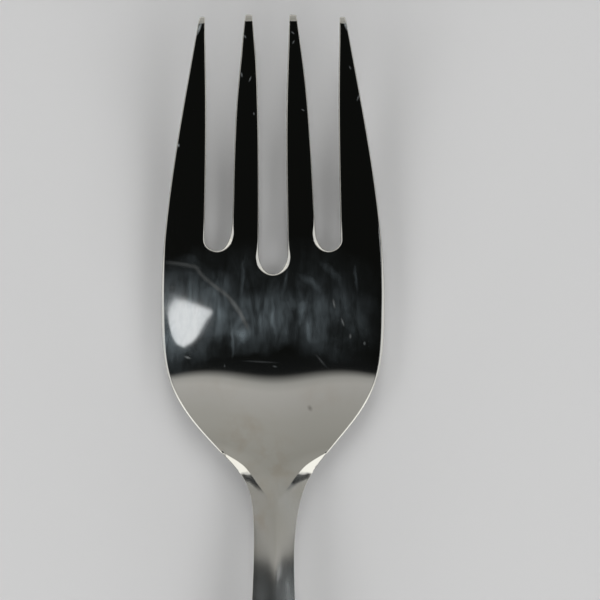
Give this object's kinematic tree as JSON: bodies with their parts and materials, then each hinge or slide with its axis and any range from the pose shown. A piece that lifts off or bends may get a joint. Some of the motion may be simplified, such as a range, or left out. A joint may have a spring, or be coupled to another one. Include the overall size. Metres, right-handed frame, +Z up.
{
  "type": "cold meat fork",
  "caption": "Polished steel serving fork with long tapered tines, a shallow dished bowl, a ridged neck and a hollow handle closed by a soldered collar.",
  "frame": {"origin": "on the table, under the middle of the fork's length and width, with the fork lying face up", "axes": "+X across the fork, +Y towards the tine tips, +Z up from the table"},
  "size_m": [0.038, 0.22, 0.0145],
  "materials": {
    "polished_steel": "polished",
    "handle_cement": "matte"
  },
  "bodies": {
    "root": {"fork_head": "polished_steel", "mouth_collar": "polished_steel", "handle_front_shell": "polished_steel", "handle_back_shell": "polished_steel", "handle_filler": "handle_cement"}
  },
  "joints": []
}
